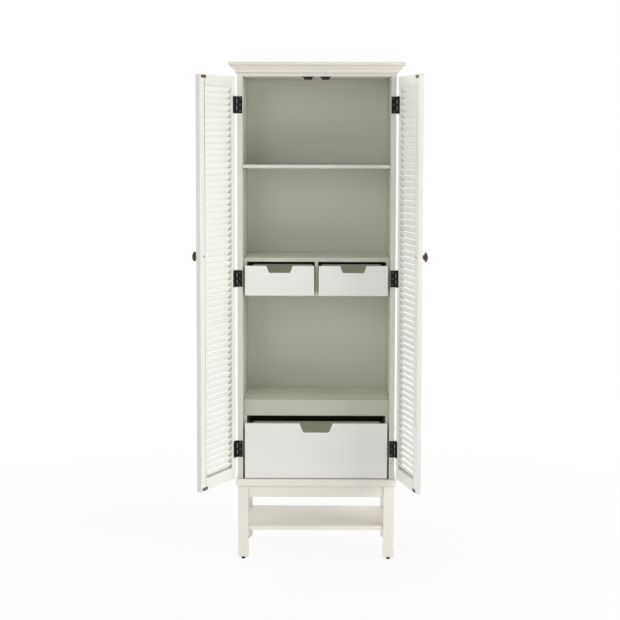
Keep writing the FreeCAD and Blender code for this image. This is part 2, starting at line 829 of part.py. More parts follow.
def make_strike_plates(side, sign):
    """Round-ended steel plates at the top and bottom of the door's inner face."""
    body = doc.addObject("PartDesign::Body", f"{side}_door_strike_plates")
    sketch = new_sketch(body, "XZ_Plane", ("0", "0", "pin_before - plate_thickness"))
    radius = "plate_height / 2"
    reach = f"(plate_width / 2 - {radius})"
    line = times(-sign, PLATE_LINE)
    for level in ("door_bottom + plate_edge", "door_top - plate_edge"):
        slot(sketch, (f"{line} - {reach}", level), (f"{line} + {reach}", level), radius)
    pad(body, sketch, "plate_thickness")
    hang(body, side)


def make_door(side, sign):
    screws = make_leaf_screws(side, sign, on_door=True)
    knob_screw = make_knob_screw(side, sign)
    make_frame_members(side, sign, screws, knob_screw)
    make_slats(side, sign)
    make_strike_plates(side, sign)
    make_knob(side, sign)
    hang(group(f"{side}_door_knob_screw", [knob_screw]), side)
    leaves = make_leaves(side, sign, True, screws)
    hang(group(f"{side}_door_hinge_leaves", [leaves]), side)
    hang(group(f"{side}_door_hinge_screws", [screws]), side)


# ---------------------------------------------------------------- catches

def make_catches():
    """Magnet catches under the top panel: a body with ears and two pole plates."""
    catches = []
    for side, sign in SIDES.items():
        x = times(sign, "catch_offset")
        front = f"({FRONT} + catch_back)"

        def centred(width):
            return f"{x} - {width} / 2", f"{x} + {width} / 2"

        ceiling = "top_panel_height"
        middle = "(door_top - plate_edge)"
        block = box(f"catch_block_{side}", centred("catch_width"), (front, f"{front} + catch_depth"),
                    (f"{ceiling} - catch_height", ceiling))
        ears = box(f"catch_ears_{side}", centred("ear_width"), (front, f"{front} + catch_depth"),
                   (f"{ceiling} - ear_height", ceiling))
        poles = []
        for place in (-1, 1):
            level = f"({middle} + {place} * pole_spread / 2)"
            poles.append(box(f"catch_pole_{side}_{place + 1}", centred("pole_width"),
                             (f"{front} - pole_reach", f"{front} + catch_depth / 2"),
                             (f"{level} - pole_height / 2", f"{level} + pole_height / 2")))
        catches.append(fuse(f"catch_{side}", [block, ears] + poles))
    sub_part(group("magnet_catches", catches))


# ---------------------------------------------------------------- drawers

def make_front(name, x_span, bottom, height, pull):
    """Drawer front with a finger cut-out in the middle of its top edge."""
    body = doc.addObject("PartDesign::Body", f"{name}_front")
    sketch = new_sketch(body, "XZ_Plane", ("0", "0", f"-{DRAWER_BACK}"))
    left, right = x_span
    middle = f"(({left}) + ({right})) / 2"
    top = f"{bottom} + {height}"
    outline(sketch, [
        (left, bottom),
        (right, bottom),
        (right, top),
        (f"{middle} + {pull}_width / 2", top),
        (f"{middle} + {pull}_foot / 2", f"{top} - {pull}_depth"),
        (f"{middle} - {pull}_foot / 2", f"{top} - {pull}_depth"),
        (f"{middle} - {pull}_width / 2", top),
        (left, top),
    ])
    board = pad(body, sketch, "front_thickness")
    level = value(f"{top} - {pull}_depth")

    def in_cutout_corner(edge):
        runs_through = edge.BoundBox.YLength > value("front_thickness") / 2
        return runs_through and abs(edge.CenterOfMass.z - level) < 0.01

    round_edges(body, board, in_cutout_corner, f"{pull}_radius")
    sub_part(body)


def make_walls(name, x_span, bottom, height, depth):
    """Two side walls with the back wall between them, and the bottom inside all three."""
    left, right = x_span
    start, end = DRAWER_BACK, f"{DRAWER_BACK} + {depth}"
    z_span = (bottom, f"{bottom} + {height}")
    inner = (f"{left} + wall_thickness", f"{right} - wall_thickness")
    walls = [
        box(f"{name}_wall_left", (left, inner[0]), (start, end), z_span),
        box(f"{name}_wall_right", (inner[1], right), (start, end), z_span),
        box(f"{name}_wall_back", inner, (f"{end} - wall_thickness", end), z_span),
    ]
    sub_part(group(f"{name}_walls", walls))
    sub_part(box(f"{name}_bottom", inner, (start, f"{end} - wall_thickness"),
                 (f"{bottom} + bottom_lift", f"{bottom} + bottom_lift + bottom_thickness")))


def make_drawers():
    """Two small drawers side by side and the large one under the open bay."""
    for side, sign in SIDES.items():
        name = f"small_{side}_drawer"
        edge = "divider_thickness / 2"
        make_front(name, ordered(sign, f"{edge} + small_front_gap", f"{OPENING} + small_front_overlap"),
                   "small_front_bottom", "small_front_height", "small_pull")
        make_walls(name, ordered(sign, f"{edge} + drawer_side_play", f"{OPENING} - drawer_side_play"),
                   "small_bay_height + drawer_lift", "small_wall_height", "small_drawer_depth")
    make_front("large_drawer", ("-large_front_width / 2", "large_front_width / 2"),
               "large_front_bottom", "large_front_height", "large_pull")
    make_walls("large_drawer", (f"-{OPENING} + drawer_side_play", f"{OPENING} - drawer_side_play"),
               "body_bottom + cabinet_floor_thickness + drawer_lift", "large_wall_height",
               "large_drawer_depth")


# ---------------------------------------------------------------- the whole cabinet

def check_document():
    """Stop if an object failed or a sub-part has no valid shape."""
    for obj in doc.Objects:
        if "Invalid" in obj.State or "Error" in obj.State:
            raise RuntimeError(f"{obj.Label}: {obj.State}")
    for obj in sub_parts:
        if obj.Shape.isNull() or not obj.Shape.isValid() or not obj.Shape.Solids:
            raise RuntimeError(f"{obj.Label}: no valid shape")


make_carcass()
make_cheeks()
make_side_panels(make_frame_hinges(), make_shelf_pins())
make_crown()
make_catches()
make_waist()
make_legs()
make_aprons()
make_low_shelf()
for door_side, door_sign in SIDES.items():
    make_door(door_side, door_sign)
make_drawers()
doc.recompute()
check_document()

os.makedirs("parts", exist_ok=True)
for made_part in sub_parts:
    made_part.Shape.exportStep(f"parts/{made_part.Label}.step")
    print(made_part.Label, len(made_part.Shape.Solids), round(made_part.Shape.Volume))
print(len(sub_parts), "sub-parts")
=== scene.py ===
import json
import math

import bmesh
import bpy
from mathutils import Matrix, Vector


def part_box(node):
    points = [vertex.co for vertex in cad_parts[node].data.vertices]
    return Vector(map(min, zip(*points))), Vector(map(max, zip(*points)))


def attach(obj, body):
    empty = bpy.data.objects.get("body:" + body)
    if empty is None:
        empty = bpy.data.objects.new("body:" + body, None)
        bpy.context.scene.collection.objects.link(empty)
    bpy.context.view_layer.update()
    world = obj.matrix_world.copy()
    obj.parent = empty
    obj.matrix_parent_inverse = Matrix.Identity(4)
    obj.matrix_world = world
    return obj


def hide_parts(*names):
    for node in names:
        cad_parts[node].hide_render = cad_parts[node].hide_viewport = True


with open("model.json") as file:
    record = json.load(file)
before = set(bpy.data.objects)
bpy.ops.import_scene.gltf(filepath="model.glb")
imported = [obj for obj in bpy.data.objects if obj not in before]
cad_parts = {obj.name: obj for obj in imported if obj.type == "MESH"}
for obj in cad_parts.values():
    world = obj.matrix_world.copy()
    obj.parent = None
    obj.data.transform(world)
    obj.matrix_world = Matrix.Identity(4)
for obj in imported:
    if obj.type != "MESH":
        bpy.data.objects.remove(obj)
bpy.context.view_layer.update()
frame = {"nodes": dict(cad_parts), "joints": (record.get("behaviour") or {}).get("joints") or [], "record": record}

# Finish, light and camera for a tall painted cabinet with louvred doors. Metres, Z up,
# in the frame of the imported model. Each imported node keeps its shape and gets a finish
# made of shader nodes, and the painted pieces and the hinges get softened edges; the magnet
# catches and the strike plates that they hold are modelled here in more detail.

NODES = frame["nodes"]
SLOT_OF = {part["node"]: part["material_slot"] for part in frame["record"]["subparts"]}
MM = 0.001
X_AXIS = Vector((1, 0, 0))
Y_AXIS = Vector((0, 1, 0))
Z_AXIS = Vector((0, 0, 1))
BLACK = (0.0, 0.0, 0.0, 1.0)

# How far each door stands open at rest, from its hinge's travel back to closed.
OPENING = {
    joint["child"]: math.radians(-joint["range_deg"][0])
    for joint in frame["joints"] if joint["type"] == "hinge"
}
# The way from each door's hinges to its free edge.
ALONG_DOOR = {
    "left_door": Vector((math.cos(OPENING["left_door"]), -math.sin(OPENING["left_door"]), 0)),
    "right_door": Vector((-math.cos(OPENING["right_door"]), -math.sin(OPENING["right_door"]), 0)),
}
# The way that each door's outer face looks.
OUTWARDS = {
    "left_door": ALONG_DOOR["left_door"].cross(Z_AXIS),
    "right_door": Z_AXIS.cross(ALONG_DOOR["right_door"]),
}


# The front edges of the boards round a drawer bay keep their paint's colour this deep; behind
# them the boards are painted near-black as painted shade. The painted shade reaches a little into the boards round
# it.
UNSHADED_EDGE_DEPTH = 12 * MM
BAY_SHADE_BEHIND = 2 * MM
BAY_SHADE_OVERLAP = MM


def drawer_bay(floor, ceiling, cheeks):
    """Space between two boards, from a little behind the front edges of its cheeks, that gets painted shade."""
    low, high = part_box(cheeks)
    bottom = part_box(floor)[1].z - BAY_SHADE_OVERLAP
    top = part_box(ceiling)[0].z + BAY_SHADE_OVERLAP
    front, rear = low.y + UNSHADED_EDGE_DEPTH, high.y + BAY_SHADE_BEHIND
    return Vector((low.x, front, bottom)), Vector((high.x, rear, top))


DRAWER_BAYS = [
    drawer_bay("small_bay_bottom", "fixed_shelf", "small_bay_cheeks"),
    drawer_bay("cabinet_floor", "drawer_rail", "large_bay_cheeks"),
]
# Near-black colour of the painted shade inside the drawer bays.
BAY_SHADE_COLOR = (0.09, 0.085, 0.07, 1.0)
# Share of the paint's colour kept on the outer faces of the doors: painted shade.
OUTSIDE_SHADE = 0.91
PAINT_ROUGHNESS = 0.42


# ---------------------------------------------------------------- shader nodes

class Shader:
    """Node tree of a material or a world, built from small steps."""

    def __init__(self, owner):
        owner.use_nodes = True
        self.owner = owner
        self.tree = owner.node_tree
        self.tree.nodes.clear()

    def add(self, kind, inputs=None, **settings):
        node = self.tree.nodes.new(kind)
        for name, setting in settings.items():
            setattr(node, name, setting)
        for key, value in (inputs or {}).items():
            if isinstance(value, bpy.types.NodeSocket):
                self.tree.links.new(value, node.inputs[key])
            else:
                node.inputs[key].default_value = value
        return node

    def maths(self, operation, first, second=0.0):
        return self.add("ShaderNodeMath", {0: first, 1: second}, operation=operation).outputs[0]

    def blend(self, share, first, second):
        """Mix two colours; the share is how much of the second shows."""
        node = self.add("ShaderNodeMixRGB", {"Fac": share, "Color1": first, "Color2": second})
        return node.outputs[0]

    def darken(self, share, color):
        return self.blend(share, color, BLACK)

    def multiply(self, first, second):
        return self.maths("MULTIPLY", first, second)

    def spread(self, value, low, high, new_low=0.0, new_high=1.0):
        """Stretch a range of values to a new range, and hold it at the ends."""
        node = self.add("ShaderNodeMapRange", {
            "Value": value, "From Min": low, "From Max": high,
            "To Min": new_low, "To Max": new_high}, clamp=True)
        return node.outputs[0]

    def coordinates(self, grain):
        """Object coordinates, turned so that the grain runs along X."""
        turn = Vector(grain).rotation_difference(X_AXIS).to_euler()
        place = self.add("ShaderNodeTexCoord").outputs["Object"]
        return self.add("ShaderNodeMapping", {"Vector": place, "Rotation": turn}).outputs[0]

    def noise(self, coordinates, scale, detail=2.0, roughness=0.5, distortion=0.0):
        """Noise with its own scale along each axis, in features per metre."""
        stretched = self.add("ShaderNodeMapping", {"Vector": coordinates, "Scale": scale}).outputs[0]
        node = self.add("ShaderNodeTexNoise", {
            "Vector": stretched, "Scale": 1.0, "Detail": detail,
            "Roughness": roughness, "Distortion": distortion})
        return node.outputs["Fac"]

    def edges(self, radius):
        """1 on edges and 0 on flat faces."""
        rounded = self.add("ShaderNodeBevel", {"Radius": radius}, samples=4).outputs[0]
        true = self.add("ShaderNodeNewGeometry").outputs["Normal"]
        alike = self.vectors("DOT_PRODUCT", rounded, true)["Value"]
        return self.spread(alike, 0.99, 0.80)

    def creases(self, distance):
        """1 deep in corners and 0 on open faces."""
        node = self.add("ShaderNodeAmbientOcclusion", {"Distance": distance}, samples=4)
        return self.spread(node.outputs["AO"], 0.9, 0.25)

    def facing(self, direction):
        """1 on faces that look along a direction in the piece's own axes, which turn with a door."""
        normal = self.add("ShaderNodeTexCoord").outputs["Normal"]
        alike = self.vectors("DOT_PRODUCT", normal, direction)["Value"]
        return self.spread(alike, 0.6, 0.8)

    def vectors(self, operation, first, second=(0, 0, 0)):
        return self.add("ShaderNodeVectorMath", {0: first, 1: second}, operation=operation).outputs

    def inside(self, low, high):
        """1 inside a box of the scene and 0 outside it."""
        place = self.add("ShaderNodeNewGeometry").outputs["Position"]
        middle, half = (low + high) / 2, (high - low) / 2
        away = self.vectors("ABSOLUTE", self.vectors("SUBTRACT", place, middle)[0])[0]
        over = self.vectors("SUBTRACT", away, half)[0]
        sides = self.add("ShaderNodeSeparateXYZ", {"Vector": over}).outputs
        furthest = self.maths("MAXIMUM", self.maths("MAXIMUM", sides["X"], sides["Y"]), sides["Z"])
        return self.maths("LESS_THAN", furthest, 0.0)

    def bump(self, layers):
        """Add up (height, depth in metres) layers and turn them into a normal."""
        total = None
        for height, depth in layers:
            term = self.multiply(height, depth / MM)
            total = term if total is None else self.maths("ADD", total, term)
        return self.add("ShaderNodeBump", {"Height": total, "Distance": MM, "Strength": 1.0}).outputs[0]

    def finish(self, **inputs):
        named = {name.replace("_", " "): value for name, value in inputs.items()}
        surface = self.add("ShaderNodeBsdfPrincipled", named)
        self.add("ShaderNodeOutputMaterial", {"Surface": surface.outputs[0]})
        return self.owner


def new_shader(name):
    return Shader(bpy.data.materials.new(name))


def shade(color, factor):
    return tuple(channel * factor for channel in color[:3]) + (1.0,)


def paint(name, color, grain, streaks=1.0, crease_shade=0.45, front_shade=1.0, glow=0.0, bay_shade=False,
          outwards=None):
    """Brushed satin paint on wood: the grain and the brush show through faintly. Corners and
    creases get painted shade, faces that look to the front can get painted shade or a painted glow,
    faces on the outside of a door get painted shade, and fixed boards are painted near-black inside the drawer
    bays as painted shade."""
    s = new_shader(name)
    place = s.coordinates(grain)
    blotches = s.noise(place, (2.5, 6, 6), detail=3)
    wood = s.noise(place, (4, 120, 120), detail=4, roughness=0.6, distortion=0.4)
    bristles = s.noise(place, (14, 900, 900), detail=2)
    peel = s.noise(place, (700, 700, 700), detail=1)
    tone = s.blend(s.spread(blotches, 0.3, 0.7), shade(color, 0.975), shade(color, 1.015))
    tone = s.blend(s.spread(wood, 0.35, 0.7, 0, 0.35 * streaks), tone, shade(color, 0.94))
    tone = s.blend(s.spread(bristles, 0.35, 0.7, 0, 0.25 * streaks), tone, shade(color, 1.03))
    worn = s.multiply(s.edges(1.6 * MM), s.spread(wood, 0.42, 0.6, 0.1, 0.55))
    edge_tone = (color[0] * 0.80, color[1] * 0.76, color[2] * 0.68, 1.0)
    tone = s.blend(worn, tone, edge_tone)
    # Corners and creases are darkened by their occlusion: painted shade.
    crease_shade_color = (color[0] * 0.62, color[1] * 0.60, color[2] * 0.50, 1.0)
    tone = s.blend(s.multiply(s.creases(12 * MM), crease_shade), tone, crease_shade_color)
    to_front = s.facing(-Y_AXIS)
    # Faces that look to the front are darkened: painted shade.
    tone = s.darken(s.multiply(to_front, 1.0 - front_shade), tone)
    # Faces on the outside of a door are darkened: painted shade.
    if outwards:
        tone = s.darken(s.multiply(s.facing(outwards), 1.0 - OUTSIDE_SHADE), tone)
    # Inside the drawer bays the boards are painted near-black: painted shade.
    for low, high in DRAWER_BAYS if bay_shade else []:
        tone = s.blend(s.inside(low, high), tone, BAY_SHADE_COLOR)
    gloss = s.spread(bristles, 0.3, 0.7, PAINT_ROUGHNESS - 0.05, PAINT_ROUGHNESS + 0.07)
    relief = s.bump([(wood, 0.05 * streaks * MM), (bristles, 0.012 * MM), (peel, 0.012 * MM)])
    return s.finish(Base_Color=tone, Roughness=gloss, Normal=relief,
                    Emission_Color=tone, Emission_Strength=s.multiply(to_front, glow))


def black_iron(name):
    """Black enamel on iron, rubbed to bare metal along its edges."""
    s = new_shader(name)
    place = s.coordinates(X_AXIS)
    hammer = s.noise(place, (500, 500, 500), detail=2)
    patches = s.noise(place, (160, 160, 90), detail=3)
    rubbed = s.multiply(s.edges(1.0 * MM), s.spread(patches, 0.40, 0.55))
    tone = s.blend(s.spread(hammer, 0.3, 0.7), (0.006, 0.006, 0.006, 1), (0.016, 0.016, 0.016, 1))
    tone = s.blend(rubbed, tone, (0.60, 0.59, 0.57, 1))
    gloss = s.spread(hammer, 0.3, 0.7, 0.26, 0.40)
    return s.finish(Base_Color=tone, Metallic=rubbed, Roughness=gloss,
                    Specular_IOR_Level=0.14, Normal=s.bump([(hammer, 0.08 * MM)]))


def metal(name, color, rubbed_color, roughness, relief=0.02):
    """Metal with a dark patina, worn brighter along its edges."""
    s = new_shader(name)
    place = s.coordinates(X_AXIS)
    patina = s.noise(place, (220, 220, 220), detail=4, roughness=0.6)
    scratches = s.noise(place, (60, 1500, 1500), detail=1)
    tone = s.blend(s.spread(patina, 0.35, 0.65), shade(color, 0.62), shade(color, 1.15))
    rubbed = s.multiply(s.edges(1.0 * MM), s.spread(patina, 0.35, 0.55, 0.35, 1.0))
    tone = s.blend(rubbed, tone, shade(rubbed_color, 1.0))
    tone = s.blend(s.multiply(s.creases(3 * MM), 0.6), tone, shade(color, 0.25))
    gloss = s.spread(patina, 0.3, 0.7, roughness + 0.08, roughness - 0.06)
    return s.finish(Base_Color=tone, Metallic=0.9, Roughness=gloss,
                    Normal=s.bump([(patina, relief * MM), (scratches, 0.006 * MM)]))


def plastic(name, color, roughness):
    """Moulded plastic with a fine spark texture and a painted highlight along its edges."""
    s = new_shader(name)
    place = s.coordinates(X_AXIS)
    texture = s.noise(place, (2200, 2200, 2200), detail=2)
    flow = s.noise(place, (60, 60, 200), detail=2)
    tone = s.blend(s.spread(flow, 0.3, 0.7), shade(color, 0.88), shade(color, 1.12))
    # Edges are made lighter: a painted highlight.
    tone = s.blend(s.multiply(s.edges(0.5 * MM), 0.4), tone, shade(color, 1.8))
    return s.finish(Base_Color=tone, Roughness=roughness, Specular_IOR_Level=0.2,
                    Normal=s.bump([(texture, 0.01 * MM)]))


# ---------------------------------------------------------------- finish of the imported nodes

# Coats of paint: colour, how far brush and grain show, painted shade in the corners, painted
# shade and painted glow of the faces that look to the front, and whether painted shade darkens it inside the
# drawer bays. The glow stands for daylight that reaches the drawers' back walls through their open tops. Most
# coats are lighter and darker copies of one off-white paint, each set for how much light its pieces catch: painted
# light and painted shade.
COATS = {
    "body_paint": dict(color=(0.68, 0.68, 0.615), bay_shade=True),
    "interior_paint": dict(color=(0.74, 0.75, 0.665), streaks=0.25, crease_shade=0.30, bay_shade=True),
    "door_paint": dict(color=(0.90, 0.90, 0.865), crease_shade=0.60, front_shade=0.78),
    "drawer_paint": dict(color=(0.825, 0.825, 0.795), streaks=0.8),
    "drawer_wood": dict(color=(0.56, 0.58, 0.44), crease_shade=0.20, glow=0.26),
    "slats": dict(color=(0.95, 0.95, 0.92), crease_shade=0.8),
    "crown": dict(color=(0.745, 0.71, 0.65)),
    "stand": dict(color=(0.84, 0.81, 0.75), crease_shade=0.40),
    "bay_front": dict(color=(0.54, 0.55, 0.48), bay_shade=True),
    "bay_board": dict(color=(0.84, 0.85, 0.75), crease_shade=0.30, front_shade=0.74, bay_shade=True),
}
# Pieces whose coat isn't the one of their slot.
OWN_COAT = {
    "crown_front": "crown", "crown_returns": "crown", "top_board": "crown",
    "base_board": "stand", "front_legs": "stand", "rear_legs": "stand", "front_apron": "stand",
    "rear_apron": "stand", "side_aprons": "stand", "stand_shelf": "stand",
    "drawer_rail": "bay_front", "fixed_shelf": "bay_board", "open_bay_floor": "bay_board",
    "left_door_slats": "slats", "right_door_slats": "slats",
}
PLAIN_FINISHES = {
    "hinge_black": lambda: black_iron("hinge_black"),
    "pin_steel": lambda: metal("pin_steel", (0.42, 0.41, 0.40), (0.72, 0.70, 0.67), 0.30),
    "screw_steel": lambda: metal("screw_steel", (0.42, 0.40, 0.37), (0.66, 0.63, 0.58), 0.36),
    "knob_bronze": lambda: metal("knob_bronze", (0.13, 0.105, 0.08), (0.46, 0.36, 0.26), 0.36,
                                 relief=0.05),
    "strike_plate": lambda: metal("strike_plate", (0.22, 0.15, 0.13), (0.50, 0.38, 0.33), 0.42),
    "pole_iron": lambda: metal("pole_iron", (0.05, 0.04, 0.035), (0.20, 0.17, 0.15), 0.55),
    "catch_plastic": lambda: plastic("catch_plastic", (0.035, 0.013, 0.010), 0.55),
    "glide_plastic": lambda: plastic("glide_plastic", (0.02, 0.02, 0.02), 0.5),
}
AXES = {"x": X_AXIS, "y": Y_AXIS, "z": Z_AXIS}
# Pieces whose grain doesn't run along the longest side of their box.
GRAIN = {
    "front_legs": "z", "rear_legs": "z", "side_aprons": "y", "crown_returns": "y",
    "small_bay_cheeks": "y", "large_bay_cheeks": "y", "drawer_divider": "y",
}
MADE = {}


def grain_of(node):
    """Name and direction of a board's grain: along its length, or along its door."""
    if node in GRAIN:
        return GRAIN[node], AXES[GRAIN[node]]
    for door, along in ALONG_DOOR.items():
        if node.startswith(door):
            return (f"{door}_z", Z_AXIS) if "stile" in node else (door, along)
    low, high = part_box(node)
    sides = list(high - low)
    axis = "xyz"[sides.index(max(sides))]
    return axis, AXES[axis]


def plain_finish(slot):
    """Finish that every piece of a slot shares."""
    if slot not in MADE:
        MADE[slot] = PLAIN_FINISHES[slot]()
    return MADE[slot]


def finish_of(node):
    """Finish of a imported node: its slot's, or a coat of paint with the node's own grain."""
    slot = SLOT_OF[node]
    if slot in PLAIN_FINISHES:
        return plain_finish(slot)
    label, grain = grain_of(node)
    coat = OWN_COAT.get(node, slot)
    name = f"{coat}_{label}"
    if name not in MADE:
        outwards = next((OUTWARDS[door] for door in OUTWARDS if node.startswith(door)), None)
        MADE[name] = paint(name, grain=grain, outwards=outwards, **COATS[coat])
    return MADE[name]


# ---------------------------------------------------------------- softened edges

SHARP_ANGLE = math.radians(28)
SHORTEST_SOFT_EDGE = 6 * MM
WELD_DISTANCE = 0.01 * MM
BEVEL_SEGMENTS = 3


def make_welder():
    """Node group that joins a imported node's split faces, and marks its long sharp edges."""
    group = bpy.data.node_groups.new("weld", "GeometryNodeTree")
    group.interface.new_socket("Geometry", in_out="INPUT", socket_type="NodeSocketGeometry")
    group.interface.new_socket("Geometry", in_out="OUTPUT", socket_type="NodeSocketGeometry")

    def add(kind, inputs=None, **settings):
        node = group.nodes.new(kind)
        for name, setting in settings.items():
            setattr(node, name, setting)
        for key, value in (inputs or {}).items():
            if isinstance(value, bpy.types.NodeSocket):
                group.links.new(value, node.inputs[key])
            else:
                node.inputs[key].default_value = value
        return node

    start = add("NodeGroupInput").outputs[0]
    joined = add("GeometryNodeMergeByDistance", {
        "Geometry": start, "Distance": WELD_DISTANCE}).outputs[0]
    angle = add("GeometryNodeInputMeshEdgeAngle").outputs["Unsigned Angle"]
    sharp = add("FunctionNodeCompare", {0: angle, 1: SHARP_ANGLE},
                data_type="FLOAT", operation="GREATER_THAN").outputs[0]
    normals = add("GeometryNodeSetMeshNormal", {
        "Mesh": joined, "Remove Custom": True, "Edge Sharpness": sharp,
        "Face Sharpness": False}, mode="SHARPNESS").outputs[0]
    ends = add("GeometryNodeInputMeshEdgeVertices")
    span = add("ShaderNodeVectorMath", {
        0: ends.outputs["Position 1"], 1: ends.outputs["Position 2"]},
        operation="DISTANCE").outputs["Value"]
    long_enough = add("FunctionNodeCompare", {0: span, 1: SHORTEST_SOFT_EDGE},
                      data_type="FLOAT", operation="GREATER_THAN").outputs[0]
    chosen = add("FunctionNodeBooleanMath", {0: sharp, 1: long_enough}, operation="AND").outputs[0]
    marked = add("GeometryNodeStoreNamedAttribute", {
        "Geometry": normals, "Name": "bevel_weight_edge", "Value": chosen},
        data_type="FLOAT", domain="EDGE").outputs[0]
    add("NodeGroupOutput", {0: marked})
    return group


WELDER = make_welder()


def soften(obj, width):
    """Round the long edges of a piece, as sandpaper and paint do."""
    weld = obj.modifiers.new("weld", "NODES")
    weld.node_group = WELDER
    bevel = obj.modifiers.new("soft_edges", "BEVEL")
    bevel.width = width
    bevel.segments = BEVEL_SEGMENTS
    bevel.limit_method = "WEIGHT"
    bevel.harden_normals = True
    bevel.use_clamp_overlap = True


# How far the edges of each slot's pieces are rounded.
SOFT_WIDTH = {
    "body_paint": 1.0 * MM, "interior_paint": 0.6 * MM, "door_paint": 1.6 * MM,
    "drawer_paint": 1.2 * MM, "drawer_wood": 0.6 * MM, "hinge_black": 0.25 * MM,
}

for node, obj in NODES.items():
    obj.data.materials.clear()
    obj.data.materials.append(finish_of(node))
    slot = SLOT_OF[node]
    if slot in SOFT_WIDTH:
        soften(obj, SOFT_WIDTH[slot])


# ---------------------------------------------------------------- catches and strike plates

# Width, depth from front to back and height of the catches' parts and of the plates.
EARS = Vector((46, 14, 4)) * MM
HOUSING = Vector((31, 14, 12)) * MM
POLE = Vector((24, 8, 1.5)) * MM
PLATE = Vector((44, 1, 11)) * MM
EAR_CORNER = 5 * MM
HOUSING_CORNER = 2.5 * MM
POLE_CORNER = 0.3 * MM
# Levels of the two pole plates above the middle of a catch.
POLE_LEVELS = (-1.75 * MM, 1.75 * MM)
# Share of the ears' and of the plates' thickness that is left under the screw heads.
EAR_UNDER_SCREW = 0.8
PLATE_UNDER_SCREW = 0.75
SCREW_RADIUS = 2.6 * MM
SCREW_SLOT = 0.9 * MM
# Share of a screw head's height below its slot, and of its radius above it.
SCREW_BASE = 0.4
SCREW_TOP_RADIUS = 0.97


def slab(mesh, outline, place, low, high):
    """Add a slab: an outline of (u, v) points, run from the low to the high level."""
    bottom = [mesh.verts.new(place(u, v, low)) for u, v in outline]
    top = [mesh.verts.new(place(u, v, high)) for u, v in outline]
    mesh.faces.new(bottom)
    mesh.faces.new(top)
    for number, corner in enumerate(bottom):
        mesh.faces.new((bottom[number - 1], corner, top[number], top[number - 1]))


def arc(centre, radius, start, end, steps=10):
    """Points on an arc, in degrees, both ends included."""
    turns = [math.radians(start + (end - start) * step / steps) for step in range(steps + 1)]
    u, v = centre
    return [(u + radius * math.cos(turn), v + radius * math.sin(turn)) for turn in turns]


def rounded(width, height, radius):
    """Outline of a rectangle about the origin, with four rounded corners."""
    u, v = width / 2 - radius, height / 2 - radius
    return (arc((u, -v), radius, -90, 0) + arc((u, v), radius, 0, 90)
            + arc((-u, v), radius, 90, 180) + arc((-u, -v), radius, 180, 270))


def half_disc(radius, slot, side):
    """Outline of the half of a slotted head on one side of its slot."""
    lift = math.degrees(math.asin(slot / 2 / radius))
    return arc((0, 0), radius, lift + 180 * side, 180 - lift + 180 * side)


def add_screw(mesh, place, u, v, level, height):
    """Add a slotted screw head that stands up from a level."""
    def around(du, dv, w):
        return place(u + du, v + dv, w)

    slotted = level + height * SCREW_BASE
    slab(mesh, arc((0, 0), SCREW_RADIUS, 0, 342, steps=19), around, level, slotted)
    for side in (0, 1):
        outline = half_disc(SCREW_RADIUS * SCREW_TOP_RADIUS, SCREW_SLOT, side)
        slab(mesh, outline, around, slotted, level + height)


def finish_piece(name, mesh, materials, body, replaced, bevel, matrix=None):
    """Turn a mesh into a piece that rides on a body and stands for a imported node."""
    bmesh.ops.recalc_face_normals(mesh, faces=mesh.faces)
    data = bpy.data.meshes.new(name)
    mesh.to_mesh(data)
    mesh.free()
    obj = bpy.data.objects.new(name, data)
    bpy.context.scene.collection.objects.link(obj)
    if matrix:
        obj.matrix_world = matrix
    for material in materials:
        data.materials.append(material)
    soft = obj.modifiers.new("soft_edges", "BEVEL")
    soft.width = bevel
    soft.segments = BEVEL_SEGMENTS
    soft.limit_method = "ANGLE"
    soft.harden_normals = True
    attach(obj, body)
    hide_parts(replaced)
    return obj


def paint_faces(mesh, start, index):
    """Give the faces added since a count a material of their own."""
    mesh.faces.ensure_lookup_table()
    for face in mesh.faces[start:]:
        face.material_index = index


def make_catches():
    """Magnet catches: a rounded housing on screwed ears, with two steel pole plates."""
    low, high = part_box("magnet_catches")
    ceiling = high.z
    middle_y = high.y - HOUSING.y / 2
    level = (low.z + ceiling) / 2
    ear_face = EARS.z * EAR_UNDER_SCREW
    reach = (HOUSING.x / 2 + EARS.x / 2) / 2
    for side, centre in (("left", low.x + EARS.x / 2), ("right", high.x - EARS.x / 2)):
        mesh = bmesh.new()

        def below(u, v, w):
            return centre + u, middle_y + v, ceiling - w

        def facing(u, v, w):
            return centre + u, w, level + v

        slab(mesh, rounded(HOUSING.x, HOUSING.y, HOUSING_CORNER), below, 0, HOUSING.z)
        slab(mesh, rounded(EARS.x, EARS.y, EAR_CORNER), below, 0, ear_face)
        iron_start = len(mesh.faces)
        for offset in (-reach, reach):
            add_screw(mesh, below, offset, 0, ear_face, EARS.z - ear_face)
        for pole in POLE_LEVELS:
            outline = [(u, v + pole) for u, v in rounded(POLE.x, POLE.z, POLE_CORNER)]
            slab(mesh, outline, facing, low.y, low.y + POLE.y)
        paint_faces(mesh, iron_start, 1)
        finish_piece(f"magnet_catch_{side}", mesh,
                     [plain_finish("catch_plastic"), plain_finish("pole_iron")],
                     "cabinet", "magnet_catches", bevel=0.3 * MM)


